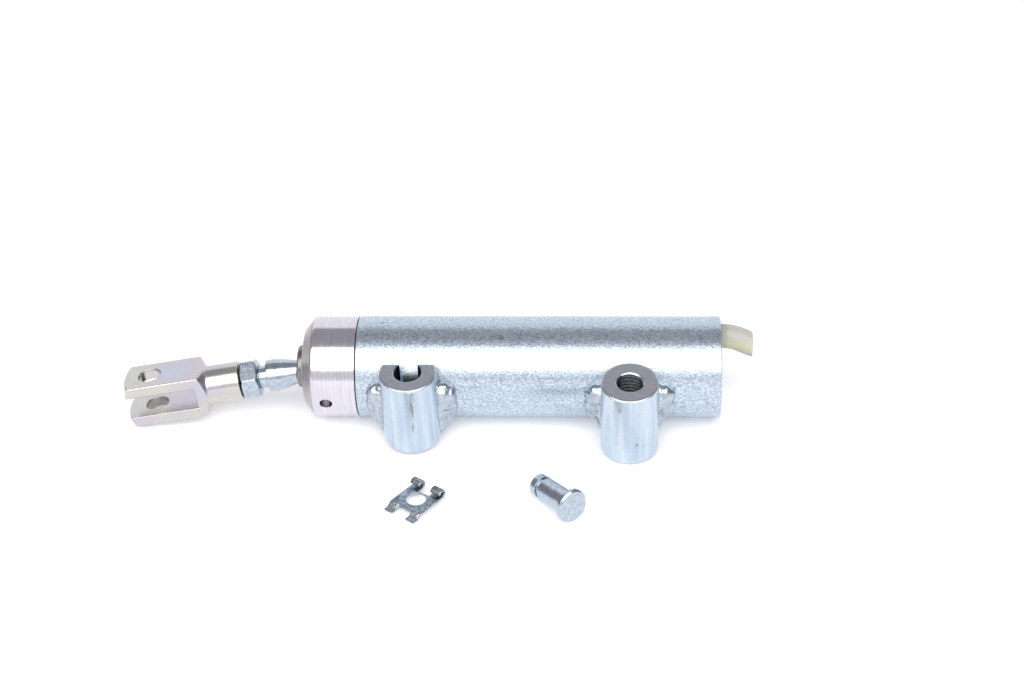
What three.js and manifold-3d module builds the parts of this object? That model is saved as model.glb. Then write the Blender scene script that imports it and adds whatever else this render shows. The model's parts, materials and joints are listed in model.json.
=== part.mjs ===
// Single-acting pneumatic cylinder with two welded mounting bosses and a swivelling push rod.
// Millimetres, +Z up. The origin is the centre of the rear end face, on the tube's axis.
// The tube lies along X with its rod end towards -X, and rests on a bench at z = -tubeRadius.
import * as THREE from 'three';
import { mergeVertices } from 'three/addons/utils/BufferGeometryUtils.js';
import Module from 'manifold-3d';

const wasm = await Module();
wasm.setup();

// ---------- driving dimensions ----------
const gap = 0.3;                // assembly gap between touching pieces
const degree = Math.PI / 180;
const barrelSides = 36;         // facets round the largest pieces

const tubeRadius = 18;
const boreRadius = 15;
const tubeLength = 128;         // from the rear end face to the cap joint
const coverThickness = 6;

const bossRadius = 10;
const bossHeight = 30;
const bossTop = tubeRadius;     // boss tops are level with the top of the tube
const frontBossX = -108.4;
const frontBossOffset = 22.3;   // boss axis to tube axis
const frontFlatOffset = 18.2;   // the flat lies close enough to the axis for the bore to break through
const frontBossBore = 4.9;
const rearBossX = -32;
const rearBossOffset = 27.2;
const rearBossBore = 4.4;

const capLength = 19.5;
const capChamferLength = 3.8;
const capFaceRadius = 13.3;
const capSpigotLength = 13.4;
const spannerHoleRadius = 2.15;
const spannerHoleX = -139;
const spannerHoleTurn = 6 * degree;   // below the bosses' side
const bushWall = 1.6;

const noseX = -150.1;           // front end of the trunk rod with the cylinder retracted
const noseTaper = 2.8;
const trunkRadius = 8;
const trunkBore = 6.5;
const mouthRadius = 7.1;
const pistonX = -12.5;          // rear face of the piston
const pistonLength = 14;
const studRadius = 5;
const springRadius = 11;
const springWire = 2;
const springTurns = 9;

const pivotX = -138.5;          // centre of the ball joint
const ballRadius = 5;
const rodPitch = 7.5 * degree;  // the push rod droops until the fork lies on the bench
const rodYaw = 4.8 * degree;
const forkRoll = -0.8 * degree;
const nutStart = 26.2;          // stations along the push rod, from the ball's centre
const nutHeight = 6.5;
const nutFlats = 13;
const nutTurn = 5 * degree;       // against the fork's own roll
const threadRadius = 4;
const forkWidth = 16;
const forkSlot = 8;
const forkNeckLength = 32;      // neck end to pin hole
const forkTipLength = 10.3;     // pin hole to fork tip
const forkTipDome = 26;
const forkNeckRadius = 7;
const pinHoleRadius = 4.05;

const portY = 7.4;              // air port in the rear cover
const portZ = 8.2;
const elbowRadius = 4.35;
const elbowReach = 11.8;

const benchZ = -tubeRadius;

// ---------- how the cylinder lies ----------
// It rolls about its axis until the rear boss's lower rim meets the bench.
const rimOut = rearBossOffset + bossRadius;
const rimDown = bossHeight - bossTop;
const restRoll = Math.asin(tubeRadius / Math.hypot(rimOut, rimDown)) - Math.atan2(rimDown, rimOut);

// ---------- finishes ----------
const finish = (color, roughness, metalness) =>
  new THREE.MeshStandardMaterial({ color, roughness, metalness });
const zinc = finish(0xc9d2d8, 0.35, 0.9);
const weldedZinc = finish(0xb4bdc2, 0.5, 0.85);
const aluminium = finish(0xcfcac8, 0.35, 0.9);
const chromate = finish(0xd2cdb8, 0.35, 0.85);
const springSteel = finish(0x8d9296, 0.4, 0.9);
const bronze = finish(0x9c7a48, 0.5, 0.8);
const rubber = finish(0x202122, 0.85, 0);
const nylon = finish(0xe9e6cf, 0.5, 0);

// ---------- solids ----------
function signedVolume(position, index) {
  const a = new THREE.Vector3();
  const b = new THREE.Vector3();
  const c = new THREE.Vector3();
  let sum = 0;
  for (let i = 0; i < index.length; i += 3) {
    a.fromBufferAttribute(position, index[i]);
    b.fromBufferAttribute(position, index[i + 1]);
    c.fromBufferAttribute(position, index[i + 2]);
    sum += a.dot(b.cross(c)) / 6;
  }
  return sum;
}

// Turns a closed three.js geometry into a solid with its faces pointing out.
function solid(geometry) {
  const bare = geometry.clone();
  bare.deleteAttribute('normal');
  bare.deleteAttribute('uv');
  const merged = mergeVertices(bare, 1e-4);
  const index = [];
  const all = merged.index.array;
  for (let i = 0; i < all.length; i += 3) {
    const [a, b, c] = [all[i], all[i + 1], all[i + 2]];
    if (a !== b && b !== c && c !== a) index.push(a, b, c);
  }
  if (signedVolume(merged.attributes.position, index) < 0) index.reverse();
  return new wasm.Manifold(new wasm.Mesh({
    numProp: 3,
    vertProperties: new Float32Array(merged.attributes.position.array),
    triVerts: new Uint32Array(index),
  }));
}

function box(x0, x1, y0, y1, z0, z1) {
  const geometry = new THREE.BoxGeometry(x1 - x0, y1 - y0, z1 - z0);
  geometry.translate((x0 + x1) / 2, (y0 + y1) / 2, (z0 + z1) / 2);
  return solid(geometry);
}

// A body turned about the X axis from a profile of [x, radius] points.
function turned(profile, segments = 28) {
  const points = profile.map(([x, radius]) => new THREE.Vector2(radius, x));
  return solid(new THREE.LatheGeometry(points, segments).rotateZ(-Math.PI / 2));
}

// A turned ring: its profile closes on itself.
const ring = (profile, segments) => turned([...profile, profile[0]], segments);
const shaft = (x0, x1, radius, segments) =>
  turned([[x0, 0], [x0, radius], [x1, radius], [x1, 0]], segments);
const washer = (x0, x1, inner, outer, segments) =>
  ring([[x0, inner], [x0, outer], [x1, outer], [x1, inner]], segments);

function post(x, y, z0, z1, radius, segments = 32) {
  const geometry = new THREE.CylinderGeometry(radius, radius, z1 - z0, segments);
  geometry.rotateX(Math.PI / 2).translate(x, y, (z0 + z1) / 2);
  return solid(geometry);
}

// Profile points of an arc with the given centre on the axis.
function arc(centre, radius, from, to, steps) {
  return Array.from({ length: steps + 1 }, (_, i) => {
    const angle = from + (to - from) * i / steps;
    return [centre - radius * Math.cos(angle), radius * Math.sin(angle)];
  });
}

const circle = (radius, points) => new THREE.Shape(
  Array.from({ length: points }, (_, i) => {
    const angle = 2 * Math.PI * i / points;
    return new THREE.Vector2(radius * Math.cos(angle), radius * Math.sin(angle));
  }));

const swept = (shape, path, steps) =>
  solid(new THREE.ExtrudeGeometry(shape, { steps, bevelEnabled: false, extrudePath: path }));

// ---------- the assembly ----------
const cylinder = new THREE.Group();
const barrel = new THREE.Group();
barrel.rotation.x = restRoll;
cylinder.add(barrel);

function piece(parent, name, body, material) {
  const { vertProperties, triVerts } = body.getMesh();
  const geometry = new THREE.BufferGeometry();
  geometry.setAttribute('position', new THREE.BufferAttribute(vertProperties, 3));
  geometry.setIndex(new THREE.BufferAttribute(triVerts, 1));
  geometry.computeVertexNormals();
  const mesh = new THREE.Mesh(geometry, material);
  mesh.name = name;
  parent.add(mesh);
  return mesh;
}

// ---------- barrel: tube, rear cover, bosses and welds ----------
const flangeThickness = 2.2;
const tubeRearX = -flangeThickness - gap;
const weldGroove = 1;
const spigotRadius = boreRadius - gap;

function makeTube() {
  const body = ring([
    [tubeRearX, boreRadius], [-tubeLength, boreRadius],
    [-tubeLength, tubeRadius - 0.3], [-tubeLength + 0.3, tubeRadius],
    [tubeRearX - weldGroove, tubeRadius], [tubeRearX, tubeRadius - weldGroove],
  ], barrelSides);
  piece(barrel, 'barrel_tube', body, zinc);
}

// The cover is a flange with a spigot in the bore, welded round its rim.
function makeRearCover() {
  const disc = turned([
    [-coverThickness, 0], [-coverThickness, spigotRadius], [-flangeThickness, spigotRadius],
    [-flangeThickness, tubeRadius - weldGroove], [-flangeThickness + weldGroove, tubeRadius],
    [-0.4, tubeRadius], [0, tubeRadius - 0.4], [0, 0],
  ], barrelSides);
  const port = shaft(-coverThickness - 1, 1, 3.3, 16).translate([0, portY, portZ]);
  const counterbore = shaft(-1.8, 1, 4.7, 16).translate([0, portY, portZ]);
  piece(barrel, 'rear_cover', disc.subtract(port).subtract(counterbore), zinc);
  const middle = (tubeRearX - flangeThickness) / 2;
  const bead = ring([
    [middle, tubeRadius - 0.75], [middle - 0.8, tubeRadius], [middle + 0.8, tubeRadius],
  ], barrelSides);
  piece(barrel, 'rear_cover_weld', bead, weldedZinc);
}

function makeFrontBoss() {
  const y = -frontBossOffset;
  const low = bossTop - bossHeight;
  const flat = box(frontBossX - 12, frontBossX + 12, -frontFlatOffset, y + 20, low - 1, bossTop + 1);
  const bore = post(frontBossX, y, low - 1, bossTop + 1, frontBossBore, 24);
  const body = post(frontBossX, y, low, bossTop, bossRadius).subtract(flat).subtract(bore);
  piece(barrel, 'front_boss', body, zinc);
}

// The rear boss is seated on the tube by a shallow saddle.
function makeRearBoss() {
  const y = -rearBossOffset;
  const low = bossTop - bossHeight;
  const saddle = shaft(rearBossX - 12, rearBossX + 12, tubeRadius + gap, barrelSides);
  const bore = post(rearBossX, y, low - 1, bossTop + 1, rearBossBore, 24);
  const body = post(rearBossX, y, low, bossTop, bossRadius).subtract(saddle).subtract(bore);
  piece(barrel, 'rear_boss', body, zinc);
}

// A fillet weld between a boss's flank and the tube, on the side that `side` gives (-1 or 1).
function makeWeld(name, bossX, bossY, side) {
  const toe = bossX + side * (bossRadius + 1.2);
  const blob = new THREE.SphereGeometry(1, 12, 8);
  blob.rotateX(Math.PI / 2).scale(4.6, 4.4, 9.5).translate(toe, -tubeRadius - 1.2, -2.4);
  const tube = shaft(bossX - 30, bossX + 30, tubeRadius + gap, barrelSides);
  const boss = post(bossX, bossY, -20, 20, bossRadius + gap);
  const body = solid(blob).subtract(tube).subtract(boss);
  const parts = body.decompose().sort((a, b) => b.volume() - a.volume());
  piece(barrel, name, parts[0], weldedZinc);
}

// ---------- front cap, with its seals and guide ----------
const capShoulderX = -tubeLength - 0.4;
const capFrontX = -tubeLength - capLength;
const spigotEndX = -tubeLength + capSpigotLength;
const mouthBore = trunkRadius + 0.8;
const bushInner = trunkRadius + 0.1;
const bushOuter = bushInner + bushWall;
const bushBore = bushOuter + 0.2;
const bushFrontX = -141.9;
const bushRearX = -117;
const wiperGroove = { front: -145.5, rear: -142.3, radius: bushBore + 0.4 };
const sealGroove = { front: -121.2, rear: -118.6, radius: 13 };

function makeFrontCap() {
  const chamferX = capFrontX + capChamferLength;
  const body = ring([
    [capFrontX, mouthBore], [capFrontX, capFaceRadius - 0.3], [capFrontX + 0.3, capFaceRadius],
    [chamferX, tubeRadius], [capShoulderX - 0.3, tubeRadius], [capShoulderX, tubeRadius - 0.3],
    [capShoulderX, spigotRadius], [sealGroove.front, spigotRadius],
    [sealGroove.front, sealGroove.radius], [sealGroove.rear, sealGroove.radius],
    [sealGroove.rear, spigotRadius], [spigotEndX - 0.6, spigotRadius],
    [spigotEndX, spigotRadius - 0.6], [spigotEndX, bushBore], [wiperGroove.rear, bushBore],
    [wiperGroove.rear, wiperGroove.radius], [wiperGroove.front, wiperGroove.radius],
    [wiperGroove.front, mouthBore],
  ], barrelSides);
  const hole = post(spannerHoleX, 0, 12, tubeRadius + 2, spannerHoleRadius, 16);
  const turn = 90 + spannerHoleTurn / degree;
  const near = hole.rotate([turn, 0, 0]);
  const far = hole.rotate([turn + 180, 0, 0]);
  piece(barrel, 'front_cap', body.subtract(near).subtract(far), aluminium);
}

function makeCapInternals() {
  const cord = 0.9;
  const oRing = new THREE.TorusGeometry(boreRadius - 0.08 - cord, cord, 6, 24);
  oRing.rotateY(Math.PI / 2).translate((sealGroove.front + sealGroove.rear) / 2, 0, 0);
  piece(cylinder, 'cap_seal_ring', solid(oRing), rubber);
  piece(cylinder, 'rod_guide_bush', washer(bushFrontX, bushRearX, bushInner, bushOuter), bronze);
  const lipX = wiperGroove.front + 0.3;
  const heelX = wiperGroove.rear - 0.2;
  const rim = wiperGroove.radius - 0.2;
  const wiper = ring([
    [lipX - 0.1, bushInner], [lipX, bushInner + 0.5], [lipX, rim], [heelX, rim],
    [heelX, bushInner + 0.2],
  ]);
  piece(cylinder, 'rod_wiper', wiper, rubber);
  const seat = washer(springSeatX - 1.2, springSeatX - 0.3, mouthBore, spigotRadius - 0.3);
  piece(cylinder, 'spring_seat_washer', seat, zinc);
}

// ---------- return spring ----------
class SpringCurve extends THREE.Curve {
  getPoint(t, target = new THREE.Vector3()) {
    const angle = 2 * Math.PI * springTurns * t;
    const closed = 0.5 / springTurns;
    const lead = (t - closed) / (1 - 2 * closed);
    const x = springRear + (springFront - springRear) * Math.min(Math.max(lead, 0), 1);
    return target.set(x, springRadius * Math.sin(angle), springRadius * Math.cos(angle));
  }
}
const pistonFrontX = pistonX - pistonLength;
const springSeatX = -112.7;
const springRear = pistonFrontX - gap - springWire / 2;
const springFront = springSeatX + springWire / 2;

function makeSpring() {
  const body = swept(circle(springWire / 2, 6), new SpringCurve(), springTurns * 12);
  piece(cylinder, 'return_spring', body, springSteel);
}

// ---------- air elbow in the rear cover ----------
function makeElbow() {
  const path = new THREE.CatmullRomCurve3([
    new THREE.Vector3(0.4, 0, 0), new THREE.Vector3(2.5, 0, 0), new THREE.Vector3(5.5, 0, -0.9),
    new THREE.Vector3(9, 0, -2.7), new THREE.Vector3(15.5, 0, -6),
  ]);
  const stem = shaft(-5.6, 1, 3, 16);
  const outer = swept(circle(elbowRadius, 16), path, 10);
  const stemBore = shaft(-7, 2.6, 1.6, 12);
  const inner = swept(circle(2.6, 12), new THREE.CatmullRomCurve3([
    new THREE.Vector3(2.5, 0, 0), new THREE.Vector3(5.5, 0, -0.9),
    new THREE.Vector3(9, 0, -2.7), new THREE.Vector3(16, 0, -6.3),
  ]), 8);
  const beyond = box(elbowReach, 25, -10, 10, -16, 10);
  const body = outer.subtract(beyond).add(stem).subtract(inner).subtract(stemBore);
  const elbow = piece(barrel, 'air_elbow', body, nylon);
  elbow.position.set(0, portY, portZ);
  const seal = piece(barrel, 'port_seal', washer(-1.5, -0.1, 3.2, 4.4, 16), rubber);
  seal.position.set(0, portY, portZ);
}

// ---------- piston and trunk rod ----------
function makePiston() {
  const front = pistonFrontX;
  const body = ring([
    [pistonX, studRadius + 0.2], [pistonX, 13.9], [pistonX - 0.7, 14.6],
    [pistonX - 2.4, 14.6], [pistonX - 2.4, 12], [pistonX - 5.4, 12], [pistonX - 5.4, 14.6],
    [pistonX - 7.6, 14.6], [pistonX - 7.6, 13.5], [pistonX - 11.6, 13.5], [pistonX - 11.6, 14.6],
    [front + 0.7, 14.6], [front, 13.9], [front, studRadius + 0.2],
  ]);
  piece(cylinder, 'piston', body, aluminium);
  const lip = ring([
    [pistonX - 5.2, 12.2], [pistonX - 5.2, 14.4], [pistonX - 2.6, 14.85],
    [pistonX - 2.6, 14.2], [pistonX - 3.9, 13.4], [pistonX - 2.6, 12.7], [pistonX - 2.6, 12.2],
  ]);
  piece(cylinder, 'piston_lip_seal', lip, rubber);
  piece(cylinder, 'piston_guide_ring', washer(pistonX - 11.4, pistonX - 7.8, 13.7, 14.85), nylon);
}

function makeTrunkRod() {
  const floorX = pivotX + ballRadius + 1.8;
  const grooveX = pivotX - 5;
  const grooveWidth = 1.4;
  const shoulderX = pistonFrontX - gap;
  const studEndX = pistonX + 5.3;
  const body = turned([
    [floorX, 0], [floorX, trunkBore], [grooveX, trunkBore], [grooveX, trunkBore + 0.5],
    [grooveX - grooveWidth, trunkBore + 0.5], [grooveX - grooveWidth, trunkBore],
    [noseX, mouthRadius], [noseX, mouthRadius + 0.15], [noseX + 0.4, mouthRadius + 0.4],
    [noseX + noseTaper, trunkRadius], [shoulderX, trunkRadius], [shoulderX, studRadius],
    [studEndX, studRadius], [studEndX, 0],
  ]);
  piece(cylinder, 'trunk_rod', body, zinc);
  const snapRing = washer(grooveX - grooveWidth + 0.2, grooveX - 0.2, 5.7, trunkBore + 0.3, 24);
  piece(cylinder, 'snap_ring', snapRing, springSteel);
  const nutBlank = hexPrism(pistonX + 0.2, pistonX + 5, 16);
  const nutBore = shaft(pistonX - 8, 0, studRadius + 0.2, 24);
  piece(cylinder, 'piston_nut', nutBlank.subtract(nutBore), zinc);
}

function hexPrism(x0, x1, flats) {
  const geometry = new THREE.CylinderGeometry(flats / Math.sqrt(3), flats / Math.sqrt(3), x1 - x0, 6);
  return solid(geometry.rotateZ(Math.PI / 2).translate((x0 + x1) / 2, 0, 0));
}

// ---------- ball joint, push rod and fork ----------
// Each group stands at the ball's centre, with the rod running along its own -X.
function swivel(pitch, yaw, roll) {
  const group = new THREE.Group();
  group.position.set(pivotX, 0, 0);
  group.rotation.set(roll, -pitch, yaw, 'YZX');
  cylinder.add(group);
  return group;
}
const seatGroup = swivel(rodPitch, 0, 0);
const rodGroup = swivel(rodPitch, rodYaw, 0);
const forkGroup = swivel(rodPitch, rodYaw, forkRoll);

function makeBallJoint() {
  const cupEdge = 115 * degree;
  const cup = turned([
    ...arc(0, ballRadius + gap, Math.PI, cupEdge, 4),
    ...arc(0, ballRadius + 1.2, cupEdge, Math.PI, 4),
  ], 20);
  piece(seatGroup, 'ball_seat_cup', cup, bronze);
  const back = pivotX - 2.4;
  const front = pivotX - 4.7;
  const rim = trunkBore - 0.2;
  const retainer = ring([[back, 4.7], [back, rim], [front, rim], [front, 5.2]], 24);
  piece(cylinder, 'ball_retainer', retainer, bronze);
}

function makePushRod() {
  const neckAngle = Math.asin(3.2 / ballRadius);
  const rodEnd = nutStart + nutHeight + 15;
  const body = turned([
    ...arc(0, ballRadius, Math.PI, neckAngle, 7),
    [-5.5, 3.2], [-9.5, 3.6], [-13, 4.35], [-16.5, 5.1], [-19.4, 5.6],
    [-19.9, 5.75], [-23.1, 5.75], [-23.4, 5.4], [-23.4, threadRadius],
    [-rodEnd + 0.6, threadRadius], [-rodEnd, threadRadius - 0.6], [-rodEnd, 0],
  ], 24);
  piece(rodGroup, 'push_rod', body, zinc);
}

const forkStart = nutStart + nutHeight + gap;
const pinStation = forkStart + forkNeckLength;

function makeJamNut() {
  const crown = nutFlats / Math.sqrt(3);
  const hexagon = hexPrism(-nutStart - nutHeight, -nutStart, nutFlats);
  const blank = hexagon.rotate([nutTurn / degree, 0, 0]);
  const chamfers = turned([
    [-nutStart, 0], [-nutStart, crown - 1.1], [-nutStart - 0.65, crown],
    [-nutStart - nutHeight + 0.65, crown], [-nutStart - nutHeight, crown - 1.1],
    [-nutStart - nutHeight, 0],
  ], 24);
  const hole = shaft(-nutStart - nutHeight - 1, -nutStart + 1, threadRadius + 0.2, 24);
  piece(forkGroup, 'jam_nut', blank.intersect(chamfers).subtract(hole), zinc);
}

function makeFork() {
  const half = forkWidth / 2;
  const tip = pinStation + forkTipLength;
  const corner = Math.hypot(half, half);
  const neckEnd = pinStation - 20;
  const shoulder = pinStation - 18.8;
  const slotRoot = pinStation - 16;
  const threadEnd = pinStation - 15;
  const block = box(-tip, -shoulder, -half, half, -half, half);
  const dome = arc(forkTipDome - tip, forkTipDome, Math.asin(corner / forkTipDome), 0, 6);
  const envelope = turned([
    [-forkStart, 0], [-forkStart, forkNeckRadius - 0.5], [-forkStart - 0.5, forkNeckRadius],
    [-neckEnd, forkNeckRadius], [-neckEnd - 4, corner], ...dome,
  ]);
  const neck = shaft(-shoulder - 5, -forkStart, forkNeckRadius + 1);
  const slot = box(-tip - 1, -slotRoot, -half - 1, half + 1, -forkSlot / 2, forkSlot / 2);
  const pinHole = post(-pinStation, 0, -half - 1, half + 1, pinHoleRadius, 24);
  const threadHole = shaft(-threadEnd, -forkStart + 1, threadRadius + 0.2, 24);
  const body = block.add(neck).intersect(envelope)
    .subtract(slot).subtract(pinHole).subtract(threadHole);
  piece(forkGroup, 'clevis_fork', body, chromate);
}

// ---------- loose clevis pin and its spring clip, lying on the bench ----------
// The pin rests on the rim of its head and the end of its shank.
function makeClevisPin() {
  const headRadius = 5.75;
  const headRim = 1.6;
  const shankRadius = 3.95;
  const length = 19.7;
  const shankEnd = length - 0.8;
  const groove = { near: 15.1, far: 16.3, radius: 3.1 };
  const body = turned([
    [0, 0], [0, headRadius - 0.6], [0.5, headRadius], [headRim, headRadius],
    [headRim + 0.6, headRadius - 0.6], [headRim + 0.6, shankRadius], [groove.near, shankRadius],
    [groove.near, groove.radius], [groove.far, groove.radius], [groove.far, shankRadius],
    [shankEnd, shankRadius], [length, shankRadius - 0.8], [length, 0],
  ], 24);
  const slope = Math.atan((headRadius - shankRadius) / (shankEnd - headRim));
  const rimDrop = headRadius * Math.cos(slope) + headRim * Math.sin(slope);
  const lie = new THREE.Group();
  lie.position.set(-50.9, -66.2, benchZ + rimDrop + 0.02);
  lie.rotation.order = 'ZYX';
  lie.rotation.set(0, slope, 129 * degree);
  cylinder.add(lie);
  piece(lie, 'clevis_pin', body, zinc);
}

// The clip is one bent strip: two feet, a plate with the pin hole, and two rolled ends.
function makePinClip() {
  const width = 13;
  const sheet = 0.9;
  const curl = 1.3;
  const plateLength = 11.6;
  const level = 1.8;
  const footLevel = sheet / 2 + 0.02;
  const centreLine = [[-3.4, footLevel], [-1.6, footLevel], [-0.2, level], [plateLength, level]];
  const turnsTo = 250;
  for (let angle = 25; angle <= turnsTo; angle += 25) {
    centreLine.push([plateLength + curl * Math.sin(angle * degree),
      level + curl * (1 - Math.cos(angle * degree))]);
  }
  const strip = thicken(centreLine, sheet);
  const geometry = new THREE.ExtrudeGeometry(strip, { depth: width, bevelEnabled: false, steps: 1 });
  geometry.rotateX(Math.PI / 2).translate(0, width / 2, 0);
  const hole = post(5.4, 0, -5, 10, 3.5, 24);
  const rearNotch = box(plateLength - 2.4, plateLength + 6, -2.4, 2.4, -5, 10);
  const frontNotch = box(-6, -0.5, -2.9, 2.9, -5, 10);
  const lie = new THREE.Group();
  lie.position.set(-107.3, -62, benchZ + 0.02);
  lie.rotation.z = 54.4 * degree;
  cylinder.add(lie);
  const body = solid(geometry).subtract(hole).subtract(rearNotch).subtract(frontNotch);
  piece(lie, 'pin_clip', body, springSteel);
}

// The outline of a strip of even thickness about a line of points.
function thicken(line, thickness) {
  const points = line.map(([x, y]) => new THREE.Vector2(x, y));
  const sideOf = (sign) => points.map((point, i) => {
    const before = points[Math.max(i - 1, 0)];
    const after = points[Math.min(i + 1, points.length - 1)];
    const along = after.clone().sub(before).normalize();
    return new THREE.Vector2(-along.y, along.x).multiplyScalar(sign * thickness / 2).add(point);
  });
  return new THREE.Shape([...sideOf(1), ...sideOf(-1).reverse()]);
}

makeTube();
makeRearCover();
makeFrontBoss();
makeRearBoss();
for (const [side, label] of [[-1, 'left'], [1, 'right']]) {
  makeWeld(`front_boss_weld_${label}`, frontBossX, -frontBossOffset, side);
  makeWeld(`rear_boss_weld_${label}`, rearBossX, -rearBossOffset, side);
}
makeFrontCap();
makeCapInternals();
makeSpring();
makeElbow();
makePiston();
makeTrunkRod();
makeBallJoint();
makePushRod();
makeJamNut();
makeFork();
makeClevisPin();
makePinClip();

export default cylinder;
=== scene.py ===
"""The finished look of a single-acting pneumatic cylinder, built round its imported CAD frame.

Shapes are drawn in millimetres, in a part's own axes, and scaled to metres when a mesh is made.
Solids of revolution are turned from rounded profiles. The rest are carved from distance fields.
"""
import json
import math

import bpy
import numpy as np
from mathutils import Matrix, Vector


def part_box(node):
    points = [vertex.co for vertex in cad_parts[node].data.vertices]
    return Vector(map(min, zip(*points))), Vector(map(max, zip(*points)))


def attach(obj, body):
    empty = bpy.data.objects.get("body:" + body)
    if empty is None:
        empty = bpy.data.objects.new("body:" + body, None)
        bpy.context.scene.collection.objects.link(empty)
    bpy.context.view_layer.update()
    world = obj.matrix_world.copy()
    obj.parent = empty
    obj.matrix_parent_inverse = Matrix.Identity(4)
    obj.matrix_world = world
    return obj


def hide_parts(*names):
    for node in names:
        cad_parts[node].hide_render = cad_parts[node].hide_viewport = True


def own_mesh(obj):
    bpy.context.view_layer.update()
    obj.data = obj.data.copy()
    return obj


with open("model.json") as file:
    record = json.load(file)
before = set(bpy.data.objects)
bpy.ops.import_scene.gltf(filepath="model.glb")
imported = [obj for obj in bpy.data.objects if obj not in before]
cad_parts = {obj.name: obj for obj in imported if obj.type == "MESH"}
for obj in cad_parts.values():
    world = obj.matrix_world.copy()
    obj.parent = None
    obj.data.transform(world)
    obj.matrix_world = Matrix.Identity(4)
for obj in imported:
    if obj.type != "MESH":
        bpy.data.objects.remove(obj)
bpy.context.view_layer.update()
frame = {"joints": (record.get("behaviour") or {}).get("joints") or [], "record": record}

MM = 0.001
record = frame["record"]
mounts = {m["name"]: m for m in record["mounts"]}
joints = {j["name"]: j for j in frame["joints"]}


# ---------- places, from the frame ----------
def box_mm(node):
    low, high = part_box(node)
    return np.array(low) / MM, np.array(high) / MM


def axes_at(origin_mm, x_axis, z_axis):
    """A placement whose own X and Z point along the given row-frame directions."""
    x = Vector(x_axis).normalized()
    y = Vector(z_axis).cross(x).normalized()
    z = x.cross(y)
    turn = Matrix((x, y, z)).transposed().to_4x4()
    return Matrix.Translation(Vector(origin_mm) * MM) @ turn


TUBE_RADIUS = box_mm("barrel_tube")[1][2]
BENCH = -TUBE_RADIUS
JOINT_X = box_mm("barrel_tube")[0][0]
CAP_X = box_mm("front_cap")[0][0]
NOSE_X = box_mm("trunk_rod")[0][0]
PIVOT = Vector(joints["rod_pitch"]["pos_m"]) / MM
ROD_OUT = Vector(joints["fork_turn"]["axis"])
UP_OF_BARREL = Vector(mounts["front_boss_top"]["axis"])

UPRIGHT = Matrix.Identity(4)
BARREL = axes_at((0, 0, 0), (1, 0, 0), UP_OF_BARREL)
ROD = axes_at(PIVOT, -ROD_OUT, joints["rod_yaw"]["axis"])
FORK = axes_at(PIVOT, -ROD_OUT, mounts["fork_upper_ear"]["axis"])


def in_barrel(mount):
    """A mount's point in the barrel's own axes, in millimetres."""
    return (BARREL.inverted() @ Vector(mounts[mount]["pos_m"])) / MM


# ---------- mesh tools ----------
def make_object(name, points, faces, normals, place):
    mesh = bpy.data.meshes.new(name)
    mesh.from_pydata((np.asarray(points) * MM).tolist(), [], faces)
    mesh.validate()
    mesh.shade_smooth()
    if normals is not None:
        mesh.normals_split_custom_set_from_vertices(np.asarray(normals).tolist())
    piece = bpy.data.objects.new(name, mesh)
    piece.matrix_world = place
    bpy.context.scene.collection.objects.link(piece)
    return piece


def rounded(profile, fillet, closed):
    """Fillets a profile's corners. Gives rows of x, radius and the profile's left-hand normal."""
    points = np.array(profile, float)
    count = len(points)
    rows = []
    for i in range(count):
        here = points[i]
        if not closed and i in (0, count - 1):
            other = points[1] if i == 0 else points[-2]
            along = (other - here) if i == 0 else (here - other)
            along /= np.linalg.norm(along)
            rows.append([*here, -along[1], along[0]])
            continue
        before, after = points[i - 1], points[(i + 1) % count]
        a, b = before - here, after - here
        la, lb = np.linalg.norm(a), np.linalg.norm(b)
        a, b = a / la, b / lb
        half = math.acos(np.clip(a @ b, -1, 1)) / 2
        cut = min(fillet / max(math.tan(half), 1e-3), 0.45 * la, 0.45 * lb)
        radius = cut * math.tan(half)
        middle = (a + b) / max(np.linalg.norm(a + b), 1e-9)
        centre = here + middle * cut / max(math.cos(half), 1e-6)
        start, end = here + a * cut - centre, here + b * cut - centre
        turn = math.atan2(start[0] * end[1] - start[1] * end[0], start @ end)
        steps = max(2, int(abs(turn) / math.radians(18)))
        sign = 1 if turn < 0 else -1
        for k in range(steps + 1):
            angle = turn * k / steps
            c, s = math.cos(angle), math.sin(angle)
            spoke = np.array([c * start[0] - s * start[1], s * start[0] + c * start[1]])
            normal = sign * spoke / max(radius, 1e-9)
            rows.append([*(centre + spoke), *normal])
    return np.array(rows)


def turned(name, profile, place, fillet=0.25, closed=False, sides=144):
    """A body turned about its own X axis. An open profile starts and ends on the axis."""
    rows = rounded(profile, fillet, closed)
    angles = np.arange(sides) * 2 * math.pi / sides
    ring = np.stack([np.zeros(sides), np.cos(angles), np.sin(angles)], 1)
    axis = np.array([1.0, 0, 0])
    points, normals, faces, starts = [], [], [], []
    for x, radius, nx, nr in rows:
        starts.append(len(points))
        spokes = ring if radius > 1e-6 else ring[:1] * 0
        points += list(spokes * radius + axis * x)
        normals += list(spokes * nr + axis * (nx if radius > 1e-6 else math.copysign(1, nx)))
    last = len(rows) if closed else len(rows) - 1
    for i in range(last):
        a, b = starts[i], starts[(i + 1) % len(rows)]
        thin_a, thin_b = rows[i][1] <= 1e-6, rows[(i + 1) % len(rows)][1] <= 1e-6
        for k in range(sides):
            n = (k + 1) % sides
            if thin_a:
                faces.append((a, b + k, b + n))
            elif thin_b:
                faces.append((a + k, b, a + n))
            else:
                faces.append((a + k, b + k, b + n, a + n))
    points, normals = np.array(points), np.array(normals)
    v = points[np.array([f[:3] for f in faces])]
    if np.einsum("ij,ij->i", v[:, 0], np.cross(v[:, 1], v[:, 2])).sum() < 0:
        faces = [f[::-1] for f in faces]
    f0 = np.array(faces[len(faces) // 2][:3])
    face_normal = np.cross(points[f0[1]] - points[f0[0]], points[f0[2]] - points[f0[0]])
    if face_normal @ normals[f0].sum(0) < 0:
        normals = -normals
    return make_object(name, points, faces, normals, place)


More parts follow.
